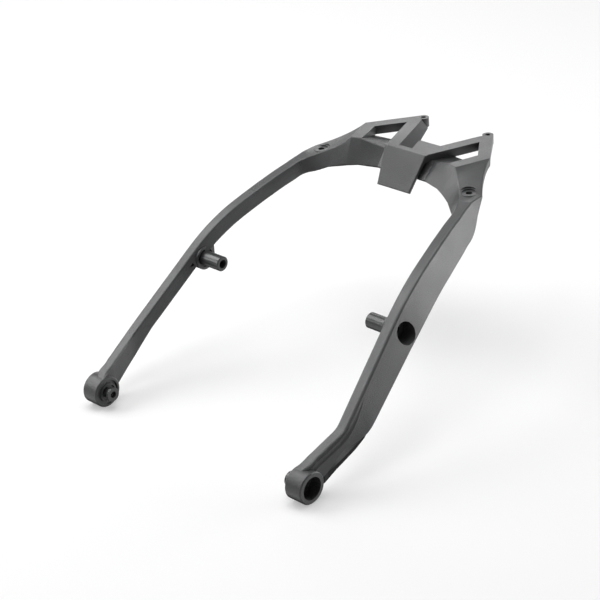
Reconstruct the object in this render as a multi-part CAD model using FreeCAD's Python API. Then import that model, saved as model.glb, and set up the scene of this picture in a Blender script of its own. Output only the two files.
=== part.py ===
import FreeCAD, Part
import math
import os
from FreeCAD import Vector

# Motorcycle luggage rack: one die-cast aluminium frame with two arms that meet in a
# flat deck with two horns, two spacer tubes for the upper bolts and two collars in
# the feet. Millimetres. X runs across, +Y to the rear, +Z up, and the deck is level.
# The origin is under the middle of the rack, at the height of the lowest points.

# Overall sizes, and the sizes at which the outline of the arms and deck was drawn
overall_length = 398.0
deck_height = 192.5
drawn_length = 398.0
drawn_height = 192.5

# Edges of the casting
top_edge = 1.6
arm_outer_edge = 2.8
elbow_outer_edge = 2.0
low_edge = 0.9
rim_edge = 1.0
inner_lip = 3.5
outer_lip = 4.5

# Feet
foot_radius = 15.3
foot_inner_x = 125.0
foot_width = 19.0
foot_counterbore_radius = 10.8
foot_counterbore_depth = 12.0
foot_ring_radius = 12.5
foot_ring_depth = 1.2
foot_ring_tilt = 5.0
foot_hub_radius = 9.5
foot_hub_height = 1.5
collar_radius = 8.0
collar_neck_radius = 5.4
collar_flange_radius = 6.9
collar_flange_width = 2.6
collar_sink = 0.5
collar_reach = 8.0
collar_bore_radius = 3.3

# Arms
arm_top_width = 10.8
arm_inner_depth = 15.5
arm_inner_lean = 3.0
toe_facet_rise = 9.0
toe_facet_drop = 3.2
flute_radius = 4.4
flute_depth = 1.3
arm_wall = 3.0
arm_roof = 3.6
rib_thickness = 2.5

# Spacer tubes
tube_radius = 7.5
tube_bore_radius = 4.35
tube_inner_x = 95.6
tube_seat_x = 124.0
tube_flange_radius = 9.6
tube_flange_width = 2.5
tube_chamfer = 0.8
tube_counterbore_radius = 10.2
pad_radius = 12.0
pad_inner_x = 119.2
pad_outer_x = 142.0
pad_block_width = 14.8
wall_cover = 0.15
pad_ring_radius = 9.4
pad_ring_depth = 2.5
pocket_width = 5.0
pocket_height = 3.5
pocket_depth = 8.0

# Ribbon beside each window, and the bridge with the windows' floors. Depths and what is
# called low are measured down from the top of the deck, and each reach is a share of the
# line that it runs on.
window_floor_depth = 9.9
window_floor_low = 13.8
window_foot_reach = 0.46
window_foot_depth = 23.3
ribbon_foot_reach = 0.43
ribbon_foot_depth = 24.3
bridge_flat_half_width = 17.0
bridge_half_width = 31.0
bridge_foot_half_width = 30.0
bridge_depth = 7.0
bridge_fall = 1.5
bridge_rear_thickness = 6.0
bridge_foot_depth = 22.7
bridge_foot_fall = 0.2
window_rear_depth = 9.5
window_rear_low = 13.5

# Horns and deck
leg_width = 12.6
leg_thickness = 9.5
leg_draft = 2.0
leg_lip_thickness = 2.2
leg_lip_reach = 1.3
leg_root_reach = 6.0
leg_root_inset = 5.0
notch_half_width = 13.8
notch_low_half_width = 7.5
tip_radius = 5.5
tip_spacing = 82.6
tip_hole_radius = 2.5
plate_half_width = 25.8
plate_rear_half_width = 28.4
plate_foot_half_width = 20.6
plate_heel_half_width = 20.2
plate_foot_depth = 33.7
plate_heel_depth = 35.5
plate_back = 7.1
plate_skin = 2.6
plate_foot_share = 0.8
plate_neck_inset = 2.2

# Spot-faced holes
spot_spacing = 188.8
spot_drop = 12.9
spot_radius = 8.6
spot_sink_radius = 6.7
spot_sink_depth = 1.3
spot_hole_radius = 3.2
spot_hole_length = 40.0
spot_rim = 0.7
spot_flare = 3.5
spot_pad_depth = 9.0

# Fits, and how near two points count as one
press_gap = 0.03
touching = 0.01


def lengthwise(y):
    """Place along Y of the drawn outline, stretched to the overall length."""
    return y * overall_length / drawn_length


def upward(z):
    """Height of the drawn outline, stretched to the deck's height."""
    return z * deck_height / drawn_height


def drawn(x, y, z):
    """Point of the drawn outline, stretched to the overall sizes."""
    return Vector(x, lengthwise(y), upward(z))


def on_deck(x, y):
    """Point of the drawn outline on top of the deck."""
    return Vector(x, lengthwise(y), deck_height)


foot_y = foot_radius - overall_length / 2
foot_z = foot_radius
foot_outer_x = foot_inner_x + foot_width
tube_y = lengthwise(-48.2)
tube_z = upward(106.5)
tip_x = tip_spacing / 2
tip_y = overall_length / 2 - tip_radius
spot_x = spot_spacing / 2
spot_y = lengthwise(97.1)
spot_height = deck_height - spot_drop
spot_floor = spot_height - spot_sink_depth
deck_low = deck_height - leg_thickness
plate_top_y = lengthwise(116.6)


def bent_line(corners, radii):
    """Height of a line of straight runs joined by arcs, as a function of y."""
    arcs = []
    for before, here, after, radius in zip(corners, corners[1:], corners[2:], radii):
        a = Vector(before[0] - here[0], before[1] - here[1], 0).normalize()
        b = Vector(after[0] - here[0], after[1] - here[1], 0).normalize()
        half = (math.pi - a.getAngle(b)) / 2
        reach = radius * math.tan(half)
        middle = (a + b).normalize() * (radius / math.cos(half))
        centre = Vector(here[0], here[1], 0) + middle
        start = here[0] + a.x * reach
        end = here[0] + b.x * reach
        arcs.append((start, end, centre, radius, -1 if middle.y > 0 else 1))

    def height(y):
        for start, end, centre, radius, side in arcs:
            if end <= y <= start:
                return centre.y + side * math.sqrt(radius ** 2 - (y - centre.x) ** 2)
        for near, far in zip(corners, corners[1:]):
            if y >= far[0] or far is corners[-1]:
                share = (y - near[0]) / (far[0] - near[0])
                return near[1] + share * (far[1] - near[1])

    return height


def rounded_section(corners, radii):
    """Closed wire through the corners, each one rounded by an arc."""
    starts = []
    ends = []
    middles = []
    count = len(corners)
    for index, (corner, radius) in enumerate(zip(corners, radii)):
        a = (corners[index - 1] - corner).normalize()
        b = (corners[(index + 1) % count] - corner).normalize()
        half = a.getAngle(b) / 2
        reach = radius / math.tan(half)
        centre = corner + (a + b).normalize() * (radius / math.sin(half))
        starts.append(corner + a * reach)
        ends.append(corner + b * reach)
        middles.append(centre + (corner - centre).normalize() * radius)
    edges = []
    for index in range(count):
        edges.append(Part.Arc(starts[index], middles[index], ends[index]).toShape())
        edges.append(Part.LineSegment(ends[index], starts[(index + 1) % count]).toShape())
    return Part.Wire(edges)


def lipped(section):
    """Section of six corners: top, outer wall, outer lip, underside, inner lip, inner wall."""
    high_in, high_out, low_out, low_in = section
    across_top = (high_out - high_in).normalize()
    down = (low_in - high_in).normalize()
    thick = (across_top - down * across_top.dot(down)).normalize()
    low_in = low_in - down * (inner_lip / 3)
    return [high_in, high_out, low_out, low_out - thick * outer_lip,
            low_in + thick * inner_lip, low_in]


def flattened(section):
    """The section with its corners moved into the plane of its front face."""
    high_in, high_out, low_in = section[0], section[1], section[-1]
    normal = (high_out - high_in).cross(low_in - high_in).normalize()
    return [corner - normal * (corner - high_in).dot(normal) for corner in section]


def skin(sections, ruled=False, outer_edges=None):
    """Solid through rounded sections, of which the first and the last are made flat."""
    full = [flattened(sections[0])] + sections[1:-1] + [flattened(sections[-1])]
    outer_edges = outer_edges or [top_edge] * len(full)
    wires = [rounded_section(section, [top_edge, outer_edge] + [low_edge] * 4)
             for section, outer_edge in zip(full, outer_edges)]
    return Part.makeLoft(wires, True, ruled)


def plain_skin(sections):
    """Solid through sharp-edged sections."""
    wires = [Part.makePolygon(section + [section[0]]) for section in sections]
    return Part.makeLoft(wires, True, True)


def along(curve, share):
    """Point at a share of a curve's length."""
    return curve.value(curve.parameterAtDistance(curve.length() * share))


def cylinder_x(radius, x_from, x_to, y, z):
    """Round bar along X."""
    return Part.makeCylinder(radius, x_to - x_from, Vector(x_from, y, z), Vector(1, 0, 0))


def mirrored(shape):
    """The same piece on the other side."""
    return shape.mirror(Vector(0, 0, 0), Vector(1, 0, 0))


# Arm: the top strip is level across. Its lines seen from the side and from above are
# straight runs joined by arcs, each corner given as (y, height) or (y, x). At the foot
# the strip runs on to where it touches the round boss.
arm_start_y = lengthwise(66.5)
toe_slope = math.radians(24.5)
toe_y = foot_y - foot_radius * math.sin(toe_slope)
toe_z = foot_z + foot_radius * math.cos(toe_slope)
toe_bend_y = lengthwise(-140.2)
boss_back_y = foot_y + foot_radius
strip_height = bent_line(
    [(arm_start_y, upward(172.2)), (lengthwise(35.0), upward(163.3)),
     (lengthwise(-29.8), upward(139.8)),
     (toe_bend_y, toe_z + (toe_bend_y - toe_y) * math.tan(toe_slope)), (toe_y, toe_z)],
    [600.0, 210.0, 35.0])
strip_inner_x = bent_line(
    [(arm_start_y, 100.3), (lengthwise(-20.0), 116.8), (toe_bend_y, 134.8),
     (toe_y, foot_inner_x + rim_edge)],
    [1500.0, 35.0])
outer_low_height = bent_line(
    [(arm_start_y, upward(145.7)), (lengthwise(-17.9), upward(113.0)),
     (lengthwise(-120.2), upward(40.2)), (boss_back_y, foot_z), (toe_y, foot_z - 4.0)],
    [320.0, 25.0, 10.0])
outer_low_x = bent_line(
    [(arm_start_y, 120.4), (lengthwise(-28.0), 141.3), (lengthwise(-121.0), 153.8),
     (boss_back_y, foot_outer_x - rim_edge), (toe_y, foot_outer_x - 2 * rim_edge)],
    [250.0, 60.0, 10.0])
inner_low_drop = bent_line(
    [(arm_start_y, arm_inner_depth), (lengthwise(-122.0), arm_inner_depth),
     (boss_back_y, 22.0), (toe_y, 18.0)],
    [200.0, 20.0])
inner_low_lean = bent_line(
    [(arm_start_y, arm_inner_lean), (lengthwise(-110.0), arm_inner_lean),
     (boss_back_y, 0.6), (toe_y, 0.6)],
    [200.0, 20.0])
facet_share = bent_line(
    [(arm_start_y, 0.0), (lengthwise(-112.0), 0.0), (lengthwise(-146.0), 1.0),
     (boss_back_y, 0.3), (toe_y, 0.0)],
    [300.0, 150.0, 40.0])
outer_edge_radius = bent_line(
    [(arm_start_y, elbow_outer_edge), (lengthwise(20.0), arm_outer_edge),
     (toe_y, arm_outer_edge)],
    [400.0])


def arm_corners(y):
    """Arm section at y without lips: level top, upright inner wall, leaning outer wall."""
    inner_x = strip_inner_x(y)
    top_z = strip_height(y)
    return [
        Vector(inner_x, y, top_z),
        Vector(inner_x + arm_top_width, y, top_z),
        Vector(outer_low_x(y), y, outer_low_height(y)),
        Vector(inner_x - inner_low_lean(y), y, top_z - inner_low_drop(y)),
    ]


def arm_section(y):
    """Arm section with lips, and in the toe a facet between outer wall and underside."""
    section = lipped(arm_corners(y))
    up_wall = (section[1] - section[2]).normalize()
    section[2] = section[2] + up_wall * (toe_facet_rise * facet_share(y))
    section[3] = section[3] - Vector(0, 0, toe_facet_drop * facet_share(y))
    return section


arm_stations = [66.5, 52, 42, 30, 18, 4, -8, -20, -32, -44, -56, -72, -90, -102, -108,
                -114, -120, -126, -132, -136, -140, -144, -148, -152, -157, -163, -168,
                -174, -182]
arm_places = [lengthwise(y) for y in arm_stations] + [toe_y]
arm = skin([arm_section(y) for y in arm_places],
           outer_edges=[outer_edge_radius(y) for y in arm_places])


def outward_of(corners):
    """Directions down along the outer wall of a section and straight out of it."""
    down = (corners[2] - corners[1]).normalize()
    return down, Vector(-down.z, 0, down.x)


# Flute: a groove that runs beside the strip down the outer side of the toe. It is cut
# by a round bar that comes closer to the wall on its way to the foot.
flute_gap = 0.6
flute_run = [(-104.0, -0.3), (-122.0, 0.4), (-136.0, 1.0), (-152.0, 1.0), (-170.0, 1.0)]


def flute_ring(y, share):
    """Circle of the bar at y, sunk into the outer wall by a share of the flute's depth."""
    corners = arm_corners(y)
    down, outward = outward_of(corners)
    half_width = math.sqrt(flute_radius ** 2 - (flute_radius - flute_depth) ** 2)
    centre = corners[1] + down * (half_width + top_edge + flute_gap)
    centre = centre + outward * (flute_radius - flute_depth * share)
    circle = Part.Circle(centre, Vector(0, 1, 0), flute_radius)
    return Part.Wire([circle.toShape()])


flute_rings = [flute_ring(lengthwise(y), share) for y, share in flute_run]
flute_rings.append(flute_ring(toe_y, 1.0))
arm = arm.cut(Part.makeLoft(flute_rings, True, False))

# Underside of the arm: open bays between ribs, so that the walls of the casting keep
# nearly one thickness. None of them reaches the pad of the spacer tube or the toe.
upper_bays = [-31.0, -8.0, 15.0, 38.0, 61.0]
lower_bays = [-112.0, -88.0, -64.0]
bay_clearance = 12.0


def bay_section(y):
    """Hollow of a bay at y: inside the walls and the roof, and open below."""
    high_in, high_out, low_out, low_in = arm_corners(y)
    return [
        high_in + Vector(arm_wall, 0, -arm_roof),
        high_out + Vector(-arm_wall, 0, -arm_roof),
        low_out + Vector(-arm_wall, 0, -bay_clearance),
        low_in + Vector(arm_wall, 0, -bay_clearance),
    ]


bays = []
for places in (upper_bays, lower_bays):
    for near, far in zip(places, places[1:]):
        near_y = lengthwise(near) + rib_thickness / 2
        far_y = lengthwise(far) - rib_thickness / 2
        stations = [near_y, (near_y + far_y) / 2, far_y]
        bays.append(plain_skin([bay_section(y) for y in stations]))
arm = arm.cut(bays)

# Shoulder guides: crease between the front face and the top, outer top edge, outer lower
# edge and front lower edge, from the ribbon at the deck towards the start of the arm.
window_low = on_deck(55.6, 115.2)
window_bend = on_deck(65.9, 146.7)
ribbon_end = on_deck(66.4, 111.6)
horn_bend = on_deck(80.0, 148.5)
leg_drop = Vector(0, 0, -leg_thickness)
horn_bend_low = horn_bend + leg_drop + Vector(-leg_draft, 0, 0)
floor_drop = Vector(0, 0, -window_floor_depth)
floor_low_drop = Vector(0, 0, -window_floor_low)
start = arm_corners(arm_start_y)


def foot_under(end, bend, reach, depth):
    """Front lower corner of a line's end: the line from its bend run on, and then down."""
    return end + (end - bend) * reach + Vector(0, 0, -depth)


window_foot = foot_under(window_low, window_bend, window_foot_reach, window_foot_depth)
ribbon_foot = foot_under(ribbon_end, horn_bend, ribbon_foot_reach, ribbon_foot_depth)


def head_sections(guides, count):
    """Lipped sections at equal shares of four guides."""
    return [lipped([along(curve, step / count) for curve in guides])
            for step in range(count + 1)]


def joined(first, points, last):
    """Smooth curve from a point through a few points of the drawn outline to a point."""
    curve = Part.BSplineCurve()
    curve.interpolate([first] + [drawn(*point) for point in points] + [last])
    return curve


def arm_tangent(index):
    """Direction in which a corner of the arm's section sets off from its start."""
    return (arm_corners(arm_start_y - 1)[index] - arm_corners(arm_start_y)[index]).normalize()


def led(first, points, index):
    """Smooth curve through a few points into one of the four corner lines of the arm."""
    places = [first] + [drawn(*point) for point in points] + [start[index]]
    directions = [Vector(0, 0, 0)] * (len(places) - 1) + [arm_tangent(index)]
    flags = [False] * (len(places) - 1) + [True]
    curve = Part.BSplineCurve()
    curve.interpolate(Points=places, Tangents=directions, TangentFlags=flags)
    return curve


corner_top = drawn(107.3, 101.3, 177.4)
corner_low = drawn(107.8, 100.9, 173.0)
crease_turn = drawn(81.9, 97.5, 181.1)
front_turn = drawn(74.5, 87.6, 165.8)
shoulder = skin(head_sections([
    joined(ribbon_end, [(74.0, 104.8, 185.7)], crease_turn),
    joined(horn_bend, [(86.6, 131.5, 186.6), (95.6, 116.3, 181.9)], corner_top),
    joined(horn_bend_low, [(87.8, 131.0, 180.5), (96.8, 115.8, 177.0)], corner_low),
    joined(ribbon_foot, [(67.5, 91.8, 167.0)], front_turn),
], 3))

# Elbow: the outer top edge runs straight on from the arm to a sharp turn, from which a
# short edge leads to the shoulder. The other three guides pass the turn smoothly.
edge_turn = drawn(107.8, 84.4, 177.1)
turn_shares = [0.6, 0.4, 0.45]
elbow_steps = [0, 0.34, 0.67, 1]
elbow_guides = [
    led(crease_turn, [(91.3, 86.7, 177.2), (97.1, 75.9, 174.5)], 0),
    led(corner_low, [(113.3, 87.1, 159.4), (117.0, 78.1, 151.5)], 2),
    led(front_turn, [(85.5, 79.0, 162.0)], 3),
]
short_edge = Part.LineSegment(corner_top, edge_turn)
long_edge = led(edge_turn, [], 1)


def elbow_section(edge, step, shares):
    """Section at a step along an outer top edge and at shares of the other guides."""
    crease, low, front = [along(*pair) for pair in zip(elbow_guides, shares)]
    return lipped([crease, along(edge, step), low, front])


corner = skin([elbow_section(short_edge, step, [share * step for share in turn_shares])
               for step in (0, 0.5, 1)],
              outer_edges=[top_edge, top_edge, elbow_outer_edge])
elbow = skin([elbow_section(long_edge, step,
                            [share + (1 - share) * step for share in turn_shares])
              for step in elbow_steps],
             outer_edges=[elbow_outer_edge] * len(elbow_steps))

# Ribbon: level strip between the window and the crease.
ribbon = skin([
    lipped([window_low, window_bend, window_bend + floor_low_drop, window_foot]),
    lipped([ribbon_end, horn_bend, horn_bend_low, ribbon_foot]),
], True)

# Bridge: floor of the windows, from the middle of the rack to the ribbon.
bridge_front_y = lengthwise(122.3)
bridge_foot_y = lengthwise(107.4)
bridge_rear_y = lengthwise(161.0)
bridge_top_z = deck_height - bridge_depth
bridge_foot_z = deck_height - bridge_foot_depth
bridge_middle = [
    (bridge_front_y, bridge_top_z),
    (bridge_rear_y, bridge_top_z - bridge_fall),
    (bridge_rear_y, bridge_top_z - bridge_rear_thickness),
    (bridge_foot_y, bridge_foot_z),
]
window_rear = on_deck(37.7, 149.6)
window_floor = [
    Vector(bridge_half_width, bridge_front_y, bridge_top_z),
    window_rear + Vector(0, 0, -window_rear_depth),
    window_rear + Vector(0, 0, -window_rear_low),
    Vector(bridge_foot_half_width, bridge_foot_y, bridge_foot_z - bridge_foot_fall),
]
bridge = skin([
    lipped([Vector(0, y, z) for y, z in bridge_middle]),
    lipped([Vector(bridge_flat_half_width, y, z) for y, z in bridge_middle]),
    lipped(window_floor),
    lipped([window_low, window_bend + floor_drop, window_bend + floor_low_drop, window_foot]),
], True)


def line_offset(a, b, distance):
    """The line from a to b moved sideways, to its right."""
    step = (b - a).normalize()
    side = Vector(step.y, -step.x, 0) * distance
    return a + side, b + side


def crossing(line_a, line_b):
    """Point where two level lines cross."""
    p, q = line_a
    u, v = line_b
    run = q - p
    cut = v - u
    share = ((u.x - p.x) * cut.y - (u.y - p.y) * cut.x) / (run.x * cut.y - run.y * cut.x)
    return p + run * share


# Horns: legs around each window, level on top, with a round boss at the tip. Below a
# thin lip the walls that face the window stand back.
plate_corner = Vector(plate_half_width, plate_top_y, deck_height)
notch_root = Vector(notch_half_width, plate_top_y + plate_back, deck_height)
tip = Vector(tip_x, tip_y, deck_height)
notch_root_low = Vector(notch_low_half_width, lengthwise(140.0), deck_low)
notch_tip = on_deck(37.6, 186.0)
notch_tip_low = on_deck(33.8, 191.3) + leg_drop
inner_line = line_offset(notch_root, notch_tip, leg_width)
outer_edge = (horn_bend, on_deck(46.9, 194.7))
outer_line = line_offset(outer_edge[1], outer_edge[0], leg_width)
window_tip = crossing(inner_line, outer_line)
leg_front = plate_corner + Vector(0, rim_edge, 0)
leg_root = crossing(inner_line, (leg_front, leg_front + Vector(1, 0, 0)))


def slab(corners, low, high):
    """Flat piece between two heights, through corners given at any height."""
    flat = [Vector(corner.x, corner.y, low) for corner in corners]
    face = Part.Face(Part.makePolygon(flat + [flat[0]]))
    return face.extrude(Vector(0, 0, high - low))


tip_overlap = Vector(4.0, 0.5, 0)
inner_leg = plain_skin([
    [notch_root, leg_root, window_tip, tip + tip_overlap, notch_tip],
    [notch_root_low, leg_root + leg_drop, window_tip + leg_drop,
     tip + tip_overlap + leg_drop, notch_tip_low],
])
leg_root_back = window_bend + Vector(0, -leg_root_reach, 0)
leg_root_side = horn_bend + Vector(-leg_root_inset, -2 * leg_root_reach, 0)
outer_leg = plain_skin([
    [horn_bend, outer_edge[1], tip, window_tip, window_bend, leg_root_back, leg_root_side],
    [horn_bend_low] + [corner + leg_drop for corner in (
        outer_edge[1], tip, window_tip, window_bend, leg_root_back, leg_root_side)],
])
tip_boss = Part.makeCylinder(tip_radius, leg_thickness, Vector(tip_x, tip_y, deck_low))

inner_wall = line_offset(inner_line[0], inner_line[1], -leg_lip_reach)
outer_wall = line_offset(outer_line[0], outer_line[1], -leg_lip_reach)
wall_tip = crossing(inner_wall, outer_wall)
wall_root = crossing(inner_wall, (plate_corner, plate_corner + Vector(1, 0, 0)))
wall_bend = crossing(outer_wall, (window_bend, window_low))
window_space = slab([wall_root, wall_tip, wall_bend, window_low], deck_low,
                    deck_height - leg_lip_thickness)
inner_leg = inner_leg.cut(window_space)
outer_leg = outer_leg.cut(window_space)

# Centre plate: a leaning skin with rounded edges in front of a narrower wedge, which
# joins it to the bridge.
plate_foot_y = lengthwise(96.0)
plate_heel_y = lengthwise(99.2)
plate_foot = Vector(plate_foot_half_width, plate_foot_y, deck_height - plate_foot_depth)
plate_heel = Vector(plate_heel_half_width, plate_heel_y, deck_height - plate_heel_depth)
plate_rear = Vector(plate_rear_half_width, plate_top_y + plate_back, deck_height)


def across(right):
    """The corner and its mirror image."""
    return [Vector(-right.x, right.y, right.z), right]


def four(high, low):
    """Four corners around, from a high and a low corner on the right."""
    return [across(high)[0], across(high)[1], across(low)[1], across(low)[0]]


skin_share = plate_skin / (plate_rear - plate_corner).Length
skin_top = plate_corner + (plate_rear - plate_corner) * skin_share
skin_foot = plate_foot + (plate_heel - plate_foot) * plate_foot_share
inset = Vector(plate_neck_inset, 0, 0)
plate_face = plain_skin([four(plate_corner, plate_foot), four(skin_top, skin_foot)])
front_corners = four(plate_corner, plate_foot)
front_edges = [edge for edge in plate_face.Edges
               if all(min((vertex.Point - corner_point).Length
                          for corner_point in front_corners) < touching
                      for vertex in edge.Vertexes)]
plate_face = plate_face.makeFillet(rim_edge, front_edges)
plate_neck = plain_skin([four(skin_top - inset, skin_foot - inset),
                         four(plate_rear - inset, plate_heel - inset)])

# Bosses on the arm, and the seats for what goes into them
foot_seat_x = foot_outer_x - foot_counterbore_depth


def turned(profile, y, z):
    """Round piece along X, from a profile of (x, radius) corners."""
    corners = [Vector(x, y, z + radius) for x, radius in profile]
    face = Part.Face(Part.makePolygon(corners + [corners[0]]))
    return face.revolve(Vector(0, y, z), Vector(1, 0, 0), 360)


def outside_wall(y):
    """Four-sided section of the room outside the arm's outer wall."""
    corners = arm_corners(y)
    down, outward = outward_of(corners)
    high = corners[1] - down * pad_radius - outward * wall_cover
    low = corners[2] + down * pad_radius - outward * wall_cover
    return [high, high + outward * pad_radius, low + outward * pad_radius, low]


foot_boss = turned([
    (foot_inner_x, 0),
    (foot_inner_x, foot_radius - rim_edge),
    (foot_inner_x + rim_edge, foot_radius),
    (foot_outer_x - rim_edge, foot_radius),
    (foot_outer_x, foot_radius - rim_edge),
    (foot_outer_x, 0),
], foot_y, foot_z)
foot_hub = cylinder_x(foot_hub_radius, foot_inner_x - foot_hub_height, foot_seat_x,
                      foot_y, foot_z)
pad = cylinder_x(pad_radius, pad_inner_x, pad_outer_x, tube_y, tube_z)
pad = pad.cut(plain_skin([outside_wall(tube_y + step)
                          for step in (-pad_radius, 0, pad_radius)]))
pad_block = Part.makeBox(pad_block_width, pad_radius, pad_radius,
                         Vector(pad_inner_x, tube_y, tube_z))
# Seat of the spot-faced hole: a short cone inside the shoulder, wider at its foot
spot_pad = Part.makeCone(spot_sink_radius + spot_rim + spot_flare,
                         spot_sink_radius + spot_rim, spot_pad_depth,
                         Vector(spot_x, spot_y, spot_floor - spot_pad_depth))

# The seat around the hub is turned at a slight angle, so that it is deepest at the
# front of the foot and runs out behind.
ring_direction = Vector(math.cos(math.radians(foot_ring_tilt)),
                        -math.sin(math.radians(foot_ring_tilt)), 0)
foot_ring = Part.makeCylinder(foot_ring_radius, foot_ring_depth + foot_hub_height,
                              Vector(foot_inner_x - foot_hub_height, foot_y, foot_z),
                              ring_direction)

# Small three-sided pocket in the inner wall beside the pad
pocket_y = lengthwise(-64.6)
pocket_z = upward(104.6)
pocket_x = strip_inner_x(pocket_y) - pocket_depth / 2
pocket_corners = [Vector(pocket_x, pocket_y - pocket_width / 2, pocket_z - pocket_height / 2),
                  Vector(pocket_x, pocket_y + pocket_width / 2, pocket_z - pocket_height / 2),
                  Vector(pocket_x, pocket_y + pocket_width / 4, pocket_z + pocket_height / 2)]
pocket = Part.Face(Part.makePolygon(pocket_corners + [pocket_corners[0]]))
pocket = pocket.extrude(Vector(pocket_depth, 0, 0))

cuts = [
    cylinder_x(foot_counterbore_radius, foot_seat_x, foot_outer_x, foot_y, foot_z),
    cylinder_x(collar_radius + press_gap, foot_inner_x - foot_hub_height, foot_outer_x,
               foot_y, foot_z),
    cylinder_x(tube_radius + press_gap, tube_inner_x, pad_outer_x, tube_y, tube_z),
    cylinder_x(tube_counterbore_radius, tube_seat_x, foot_outer_x, tube_y, tube_z),
    cylinder_x(pad_ring_radius, pad_inner_x, pad_inner_x + pad_ring_depth, tube_y, tube_z),
    Part.makeCylinder(spot_radius, deck_height - spot_height,
                      Vector(spot_x, spot_y, spot_height)),
    Part.makeCylinder(spot_sink_radius, spot_sink_depth,
                      Vector(spot_x, spot_y, spot_floor)),
    Part.makeCylinder(spot_hole_radius, spot_hole_length,
                      Vector(spot_x, spot_y, spot_floor - spot_hole_length)),
    Part.makeCylinder(tip_hole_radius, leg_thickness, Vector(tip_x, tip_y, deck_low)),
    pocket,
]

foot = foot_boss.cut(foot_ring).fuse(foot_hub)
arm = arm.fuse([pad, pad_block]).fuse(foot)
deck = ribbon.fuse([bridge, outer_leg]).fuse([inner_leg, tip_boss])
half = arm.fuse(elbow).fuse(corner).fuse([shoulder, spot_pad]).fuse(deck)
frame = half.fuse(mirrored(half)).fuse([plate_face, plate_neck])
frame = frame.cut(cuts + [mirrored(cut) for cut in cuts])

# Spacer tube: a barrel pressed through the pad, with a flange in the counterbore.
tube_end_x = tube_seat_x + tube_flange_width
spacer_tube = turned([
    (tube_inner_x, tube_bore_radius),
    (tube_inner_x, tube_radius - tube_chamfer),
    (tube_inner_x + tube_chamfer, tube_radius),
    (tube_seat_x, tube_radius),
    (tube_seat_x, tube_flange_radius),
    (tube_end_x, tube_flange_radius),
    (tube_end_x, tube_bore_radius),
], tube_y, tube_z)

# Foot collar: a body pressed into the boss, a neck, and a flange on the inner side.
collar_inner_x = foot_inner_x - collar_reach
neck_x = collar_inner_x + collar_flange_width
shoulder_x = foot_inner_x + collar_sink
foot_collar = turned([
    (collar_inner_x, collar_bore_radius),
    (collar_inner_x, collar_flange_radius),
    (neck_x, collar_flange_radius),
    (neck_x, collar_neck_radius),
    (shoulder_x, collar_neck_radius),
    (shoulder_x, collar_radius),
    (foot_seat_x, collar_radius),
    (foot_seat_x, collar_bore_radius),
], foot_y, foot_z)

nodes = {
    "frame": frame,
    "spacer_tube_right": spacer_tube,
    "spacer_tube_left": mirrored(spacer_tube),
    "foot_collar_right": foot_collar,
    "foot_collar_left": mirrored(foot_collar),
}
os.makedirs("parts", exist_ok=True)
for name, shape in nodes.items():
    print(name, shape.isValid(), len(shape.Solids), round(shape.Volume))
    shape.exportStep("parts/" + name + ".step")
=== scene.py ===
# %% [markdown]
# # A cast motorcycle luggage rack
# The rack is one die casting in a satin dark grey powder coat, with two spacer tubes and
# two foot collars of the same colour. This lesson dresses the finished solids: it gives
# them their coat, hangs a keel under each toe and sets up a small photo studio.
# The frame comes first.

# %% Load the frame
import math

import bmesh
import bpy
from mathutils import Matrix, Vector


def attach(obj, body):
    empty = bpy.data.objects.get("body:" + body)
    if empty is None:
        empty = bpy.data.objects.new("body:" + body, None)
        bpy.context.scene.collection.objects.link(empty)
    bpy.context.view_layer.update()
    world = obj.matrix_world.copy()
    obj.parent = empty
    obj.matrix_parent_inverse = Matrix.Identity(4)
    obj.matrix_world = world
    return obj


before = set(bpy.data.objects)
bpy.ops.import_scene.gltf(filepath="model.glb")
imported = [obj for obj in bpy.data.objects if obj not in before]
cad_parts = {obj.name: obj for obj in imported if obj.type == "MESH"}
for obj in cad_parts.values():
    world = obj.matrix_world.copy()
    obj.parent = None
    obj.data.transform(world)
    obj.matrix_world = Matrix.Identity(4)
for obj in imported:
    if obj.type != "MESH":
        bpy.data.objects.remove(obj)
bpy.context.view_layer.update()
print("nodes", sorted(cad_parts))

# %% [markdown]
# ## The camera
# The photograph looks down on the rack from the front right with a long lens. The place
# and the direction of the camera were fitted to the photograph. In the photograph the rack
# leans a little, so that its deck isn't level. In the rack's own frame the deck is level,
# and the camera leans instead. A long lens keeps the two arms nearly parallel.

# %% Camera
CAMERA_PLACE = Vector((1.0466, -1.0700, 0.8473))
CAMERA_ROUND = math.radians(43.74)
CAMERA_DOWN = math.radians(23.44)
RACK_TILT = math.radians(5.24)
FOCAL_PIXELS = 1752.0
PHOTO_PIXELS = 600.0
SENSOR_MM = 36.0

turn_round = Matrix.Rotation(CAMERA_ROUND, 3, "Z")
turn_down = Matrix.Rotation(math.pi / 2 - CAMERA_DOWN, 3, "X")
lean_back = Matrix.Rotation(-RACK_TILT, 3, "X")
level_turn = turn_round @ turn_down
camera_turn = lean_back @ level_turn
camera_data = bpy.data.cameras.new("camera")
camera_data.sensor_width = SENSOR_MM
camera_data.lens = camera_data.sensor_width * FOCAL_PIXELS / PHOTO_PIXELS
camera = bpy.data.objects.new("camera", camera_data)
camera.matrix_world = Matrix.Translation(CAMERA_PLACE) @ camera_turn.to_4x4()
bpy.context.collection.objects.link(camera)
bpy.context.scene.camera = camera
print("lens", round(camera_data.lens, 1), "mm")

# %% [markdown]
# ## Shader maths in plain expressions
# A material is a small sum worked out for every point of a surface. Wrapping a socket in a
# class lets that sum be written as Python, and each operator adds its own Math node. Every
# other node comes from one method, which sets the node's settings before its sockets.

# %% Shader helpers
# The Mix node has a set of sockets for each kind of value. These are the ones for colours.
MIX_SHARE, MIX_FIRST, MIX_SECOND = 0, 6, 7
MIX_RESULT = 2


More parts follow.
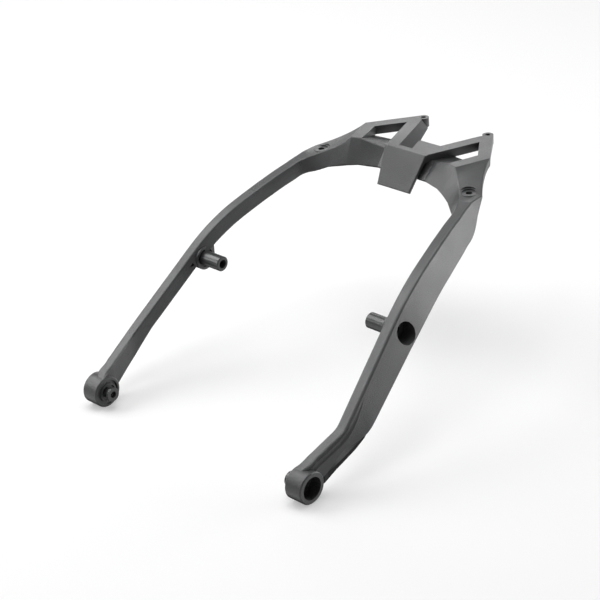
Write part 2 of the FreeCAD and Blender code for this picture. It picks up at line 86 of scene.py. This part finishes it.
class Field:
    """A number or colour that varies over a surface."""

    def __init__(self, finish, socket):
        self.finish = finish
        self.socket = socket

    def maths(self, operation, first, second):
        """One Math node."""
        return self.finish.node("ShaderNodeMath", {"operation": operation},
                                {0: first, 1: second})

    def __add__(self, other):
        return self.maths("ADD", self, other)

    def __radd__(self, other):
        return self.maths("ADD", other, self)

    def __sub__(self, other):
        return self.maths("SUBTRACT", self, other)

    def __rsub__(self, other):
        return self.maths("SUBTRACT", other, self)

    def __mul__(self, other):
        return self.maths("MULTIPLY", self, other)

    def __rmul__(self, other):
        return self.maths("MULTIPLY", other, self)


class Finish:
    """A material, or the world around the object, under construction."""

    def __init__(self, material, shader="Principled BSDF"):
        self.material = material
        self.material.use_nodes = True
        self.tree = self.material.node_tree
        self.shader = self.tree.nodes[shader]

    def fill(self, slot, value):
        """Link a field to an input, or set the input to a constant."""
        if isinstance(value, Field):
            self.tree.links.new(value.socket, slot)
        else:
            slot.default_value = value

    def node(self, kind, settings, values, output=0):
        """Add a node and return one of its outputs."""
        made = self.tree.nodes.new(kind)
        for key, value in settings.items():
            setattr(made, key, value)
        for key, value in values.items():
            self.fill(made.inputs[key], value)
        return Field(self, made.outputs[output])

    def mix(self, share, first, second):
        """Colour that goes from the first to the second as the share goes from 0 to 1."""
        return self.node("ShaderNodeMix", {"data_type": "RGBA"},
                         {MIX_SHARE: share, MIX_FIRST: first, MIX_SECOND: second},
                         MIX_RESULT)

    def feed(self, socket, value):
        """Fill one input of the shader."""
        self.fill(self.shader.inputs[socket], value)

    def seen(self):
        """1 for the rays of the camera, of mirrors and of glass, and 0 for all others."""
        to_camera, to_mirror, to_glass = (
            self.node("ShaderNodeLightPath", {}, {}, ray)
            for ray in ("Is Camera Ray", "Is Glossy Ray", "Is Transmission Ray"))
        return to_camera + to_mirror + to_glass

    def cover(self, share, skin):
        """Lay a second skin, given as its shader's constants, over a share of the first."""
        first = Field(self, self.shader.outputs[0])
        second = self.node("ShaderNodeBsdfPrincipled", {}, skin)
        both = self.node("ShaderNodeMixShader", {}, {0: share, 1: first, 2: second})
        self.tree.links.new(both.socket, self.tree.nodes["Material Output"].inputs["Surface"])


print("shader helpers ready")

# %% [markdown]
# ## The powder coat
# Powder coat is dust that is baked until it melts into one skin. The skin of this rack is
# a fine structured one: it keeps grains of about a millimetre, and its gloss varies
# slowly over the casting. The grain could be cut into the mesh, but at this size a bump
# gives the same light for far fewer faces. The coat lies a little thicker and smoother in
# broad patches, so a slow noise moves the grey and the roughness a few per cent.
# The turned tubes and collars get the same powder on a smoother surface, and so they show
# a tighter highlight and faint rings from the lathe.
# What faces down gets a darker and duller skin: painted shade that stands in for the
# shade under the rack. The height of the surface's own direction says where that is.

# %% Powder coat
DEEP_GREY = (0.036, 0.037, 0.038, 1.0)
PALE_GREY = (0.052, 0.053, 0.055, 1.0)
# Textures, with their scales per metre
GRAIN = {"Scale": 1100.0, "Detail": 3.0, "Roughness": 0.6}
PATCHES = {"Scale": 24.0, "Detail": 2.0, "Roughness": 0.5}
LATHE_RINGS = {"Scale": 900.0, "Distortion": 0.4}
GRAIN_HEIGHT = 0.0006
# The blend of grain and patches: the grain's share of it, where it gives the deep and the
# pale grey, its mean, and how far it moves the roughness
GRAIN_SHARE = 0.3
GREY_RANGE = {"From Min": 0.38, "From Max": 0.62}
MEAN_BLEND = 0.5
ROUGHNESS_SWING = 0.3
# Painted shade: a darker, duller skin sets in where the height of a surface's direction
# falls below the first value, and it is all that is left below the second.
PAINTED_SHADE_RANGE = {"From Min": -0.15, "From Max": -0.45}
PAINTED_SHADE_GLOSS = 0.15
PAINTED_SHADE_SKIN = {"Base Color": (0.018, 0.018, 0.019, 1.0), "Roughness": 0.7,
             "Specular IOR Level": PAINTED_SHADE_GLOSS}


def powder_coat(name, roughness, grain, turned):
    """Dark satin coat: its mean roughness, strength of its grain and share of lathe rings."""
    finish = Finish(bpy.data.materials.new(name))
    place = finish.node("ShaderNodeTexCoord", {}, {}, "Object")
    fine = finish.node("ShaderNodeTexNoise", {}, {"Vector": place, **GRAIN})
    broad = finish.node("ShaderNodeTexNoise", {}, {"Vector": place, **PATCHES})
    blend = fine * GRAIN_SHARE + broad * (1.0 - GRAIN_SHARE)
    share = finish.node("ShaderNodeMapRange", {}, {"Value": blend, **GREY_RANGE})
    finish.feed("Base Color", finish.mix(share, DEEP_GREY, PALE_GREY))
    finish.feed("Roughness", roughness + (MEAN_BLEND - blend) * ROUGHNESS_SWING)
    finish.feed("Metallic", 0.0)
    rings = finish.node("ShaderNodeTexWave", {"bands_direction": "X"},
                        {"Vector": place, **LATHE_RINGS}, "Fac")
    height = fine * (1.0 - turned) + rings * turned
    finish.feed("Normal", finish.node("ShaderNodeBump", {}, {
        "Strength": grain, "Distance": GRAIN_HEIGHT, "Height": height}))
    # Painted shade: faces that look down get the darker, duller skin laid over the coat.
    facing = finish.node("ShaderNodeTexCoord", {}, {}, "Normal")
    upward = finish.node("ShaderNodeSeparateXYZ", {}, {0: facing}, "Z")
    under = finish.node("ShaderNodeMapRange", {}, {"Value": upward, **PAINTED_SHADE_RANGE})
    finish.cover(under, PAINTED_SHADE_SKIN)
    return finish.material


cast_coat = powder_coat("cast_powder_coat", roughness=0.32, grain=0.4, turned=0.0)
turned_coat = powder_coat("turned_powder_coat", roughness=0.20, grain=0.08, turned=0.35)
print("made", cast_coat.name, "and", turned_coat.name)

# %% [markdown]
# ## Dressing the nodes
# The casting is one node and takes the structured coat. The two spacer tubes and the two
# foot collars are separate turned pieces on the real rack, pressed into the casting after
# the coat, so each keeps its own finish up to the joint line.

# %% Dress the nodes
for name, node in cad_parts.items():
    coat = cast_coat if name == "frame" else turned_coat
    node.data.materials.clear()
    node.data.materials.append(coat)
    print("dressed", name, "in", coat.name, len(node.data.polygons), "faces")

# %% [markdown]
# ## The keel under each toe
# Beside the foot the casting is deeper than the plain arm. A keel hangs under the toe: it
# is deepest next to the round boss and runs out before the first open bay. A curve with
# a bevel object would keep one section all along, so this keel is bridged from four-sided
# rings instead, each with its corners on the lower edges of the arm. Its two long lower
# edges are bevelled. It faces the floor, so it takes a darker, duller skin of painted shade,
# and only its inner side, which carries on the arm's inner wall, has the full coat.

# %% Keel
MM = 0.001
# Rows from the boss to the elbow, in mm: place along the arm, then x, height and drop of
# the arm's outer lower edge, then the same three of its inner lower edge.
KEEL_STATIONS = (
    (-172.0, 141.0, 15.5, 7.5, 130.5, 16.0, 4.0),
    (-165.0, 142.4, 19.4, 9.0, 130.3, 20.7, 5.6),
    (-160.0, 141.4, 19.6, 8.6, 130.8, 23.6, 4.8),
    (-150.0, 142.7, 23.5, 6.9, 132.3, 29.4, 4.2),
    (-140.0, 145.1, 29.0, 6.4, 133.4, 35.7, 4.2),
    (-130.0, 147.4, 35.0, 6.4, 131.8, 44.8, 3.0),
    (-121.0, 150.4, 41.8, 4.8, 130.3, 52.4, 1.5),
    (-112.5, 150.6, 46.9, 0.8, 128.7, 59.7, 0.0),
)
# How far the keel's corners lie inside the arm's edges, across and upwards, in mm
OUTER_BITE = (0.2, 1.0)
INNER_BITE = (0.3, 1.5)
INNER_STEP = 0.1
KEEL_LEAN = 1.0
KEEL_BEVEL = 0.7
BEVEL_STEPS = 2
LOWER_CORNERS = (2, 3)
# A face that looks inwards by more than this belongs to the inner side
INNER_SIDE = -0.5
# Painted shade: the darker, duller skin of the keel's faces that look at the floor
PAINTED_SHADE_DEEP = (0.012, 0.012, 0.013, 1.0)
PAINTED_SHADE_PALE = (0.024, 0.024, 0.025, 1.0)
PAINTED_SHADE_ROUGHNESS = 0.6
PAINTED_SHADE_SWING = 0.2
PAINTED_SHADE_GRAIN = 0.2


def painted_shade_coat(name):
    """Darker, duller skin that paints shade on a face that looks at the floor, with the same
    grain.
    """
    finish = Finish(bpy.data.materials.new(name))
    place = finish.node("ShaderNodeTexCoord", {}, {}, "Object")
    fine = finish.node("ShaderNodeTexNoise", {}, {"Vector": place, "Scale": GRAIN["Scale"]})
    finish.feed("Base Color", finish.mix(fine, PAINTED_SHADE_DEEP, PAINTED_SHADE_PALE))
    finish.feed("Roughness", fine * PAINTED_SHADE_SWING + PAINTED_SHADE_ROUGHNESS)
    finish.feed("Specular IOR Level", PAINTED_SHADE_GLOSS)
    finish.feed("Normal", finish.node("ShaderNodeBump", {}, {
        "Strength": PAINTED_SHADE_GRAIN, "Distance": GRAIN_HEIGHT, "Height": fine}))
    return finish.material


def keel_corners(station, side):
    """Corners of one ring: two inside the arm, then the lower inner and lower outer one."""
    y, outer_x, outer_z, outer_drop, inner_x, inner_z, inner_drop = station
    corners = [
        (outer_x - OUTER_BITE[0], outer_z + OUTER_BITE[1]),
        (inner_x + INNER_BITE[0], inner_z + INNER_BITE[1]),
        (inner_x + INNER_STEP, inner_z - inner_drop),
        (outer_x - KEEL_LEAN, outer_z - outer_drop),
    ]
    return [Vector((side * x, y, z)) * MM for x, z in corners]


def within_ring(edge):
    """Whether an edge runs around the keel and not along it."""
    return edge.verts[0].co.y == edge.verts[1].co.y


def keel(name, side):
    """Keel under the toe of one arm; side is 1 for the right arm and -1 for the left."""
    shape = bmesh.new()
    rings = []
    for station in KEEL_STATIONS:
        ring = bmesh.ops.create_circle(shape, segments=4, radius=MM)["verts"]
        for vert, corner in zip(ring, keel_corners(station, side)):
            vert.co = corner
        rings.append(ring)
    for near, far in zip(rings, rings[1:]):
        ends = set(near + far)
        bmesh.ops.bridge_loops(shape, edges=[
            edge for edge in shape.edges if set(edge.verts) <= ends and within_ring(edge)])
    bmesh.ops.holes_fill(shape, edges=shape.edges, sides=4)
    low = {ring[corner] for ring in rings for corner in LOWER_CORNERS}
    long_edges = [edge for edge in shape.edges
                  if set(edge.verts) <= low and not within_ring(edge)]
    bmesh.ops.bevel(shape, geom=long_edges, offset=KEEL_BEVEL * MM, offset_type="OFFSET",
                    affect="EDGES", segments=BEVEL_STEPS, profile=0.5, material=-1)
    bmesh.ops.recalc_face_normals(shape, faces=shape.faces)
    mesh = bpy.data.meshes.new(name)
    shape.to_mesh(mesh)
    shape.free()
    mesh.materials.append(cast_coat)
    # The second material paints shade on every face of the keel but its inner side.
    mesh.materials.append(keel_shade_coat)
    for face in mesh.polygons:
        face.material_index = 1 if face.normal.x * side > INNER_SIDE else 0
    piece = bpy.data.objects.new(name, mesh)
    bpy.context.collection.objects.link(piece)
    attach(piece, "root")
    print(name, len(mesh.polygons), "faces")


# Painted shade for the keel's faces that look at the floor
keel_shade_coat = painted_shade_coat("keel_painted_shade_coat")
keel("keel_right", 1)
keel("keel_left", -1)

# %% [markdown]
# ## The studio floor
# The photograph has a white floor that fades into a white backdrop. Paper of a middle
# grey takes the shadow, and a faint glow for the camera and for mirroring rays lifts it to
# white, so no extra light falls on the rack and its undersides stay dark.

# %% Floor
FLOOR_SIZE = 16.0
PAPER = (0.5, 0.5, 0.5, 1.0)
PAPER_ROUGHNESS = 0.9
NO_GLOW = (0.0, 0.0, 0.0, 1.0)
PAPER_GLOW = (0.38, 0.38, 0.38, 1.0)

shape = bmesh.new()
bmesh.ops.create_grid(shape, x_segments=1, y_segments=1, size=FLOOR_SIZE / 2)
floor_mesh = bpy.data.meshes.new("floor")
shape.to_mesh(floor_mesh)
shape.free()
paper = Finish(bpy.data.materials.new("floor_paper"))
paper.feed("Base Color", PAPER)
paper.feed("Roughness", PAPER_ROUGHNESS)
paper.feed("Emission Color", paper.mix(paper.seen(), NO_GLOW, PAPER_GLOW))
paper.feed("Emission Strength", 1.0)
floor_mesh.materials.append(paper.material)
floor = bpy.data.objects.new("floor", floor_mesh)
bpy.context.collection.objects.link(floor)
print("floor", FLOOR_SIZE, "m")

# %% [markdown]
# ## Soft boxes
# A dark glossy part is lit by what it mirrors. The tone of each face in the photograph
# tells how bright the room is in the direction that the face mirrors: the deck and the
# outer side of the right arm look into bright boxes behind the rack, the level strips
# and the centre plate into boxes at the left, and the tops of the shoulders into a dimmer
# one overhead. The gaps between the boxes give the dark lines along the rounded edges.

# %% Soft boxes
MIDDLE = (0.0, 0.0, 0.1)


def around(azimuth, elevation, distance):
    """Place seen from the middle of the rack in a direction, in degrees from +X."""
    turn = math.radians(azimuth)
    rise = math.radians(elevation)
    return (distance * math.cos(turn) * math.cos(rise),
            distance * math.sin(turn) * math.cos(rise),
            MIDDLE[2] + distance * math.sin(rise))


def soft_box(name, place, width, height, glow):
    """Area lamp that faces the rack; glow is how bright its face looks, 1 being white."""
    data = bpy.data.lights.new(name, "AREA")
    data.shape = "RECTANGLE"
    data.size = width
    data.size_y = height
    data.energy = glow * math.pi * width * height
    away = Vector(place) - Vector(MIDDLE)
    turn = away.to_track_quat("Z", "Y").to_matrix().to_4x4()
    lamp = bpy.data.objects.new(name, data)
    lamp.matrix_world = Matrix.Translation(place) @ turn
    bpy.context.collection.objects.link(lamp)
    print("soft box", name)


soft_box("overhead", (-0.10, 0.10, 1.7), width=1.2, height=1.2, glow=4.0)
soft_box("left_high", around(-163, 46, 2.2), width=1.6, height=0.9, glow=5.5)
soft_box("right_rear", around(50, 6, 2.3), width=2.0, height=0.8, glow=7.5)
soft_box("left_rear", around(131, 22, 2.4), width=1.3, height=0.6, glow=3.0)
soft_box("left_front", around(-150, 20, 2.4), width=1.9, height=0.7, glow=4.6)

# %% [markdown]
# ## The room around the floor
# Beyond the floor the room is empty. It gives the rack a faint even light, and the camera
# and mirroring rays see it in the grey that the far end of the floor has, so that no
# horizon shows when the rack is looked at from the side.

# %% Room
ROOM_LIGHT = (0.15, 0.15, 0.15, 1.0)
ROOM_SEEN = (0.46, 0.46, 0.46, 1.0)

world = bpy.data.worlds.new("studio")
room = Finish(world, "Background")
room.feed("Color", room.mix(room.seen(), ROOM_LIGHT, ROOM_SEEN))
room.feed("Strength", 1.0)
bpy.context.scene.world = world
bpy.context.scene.view_settings.view_transform = "Standard"
print("world", world.name)
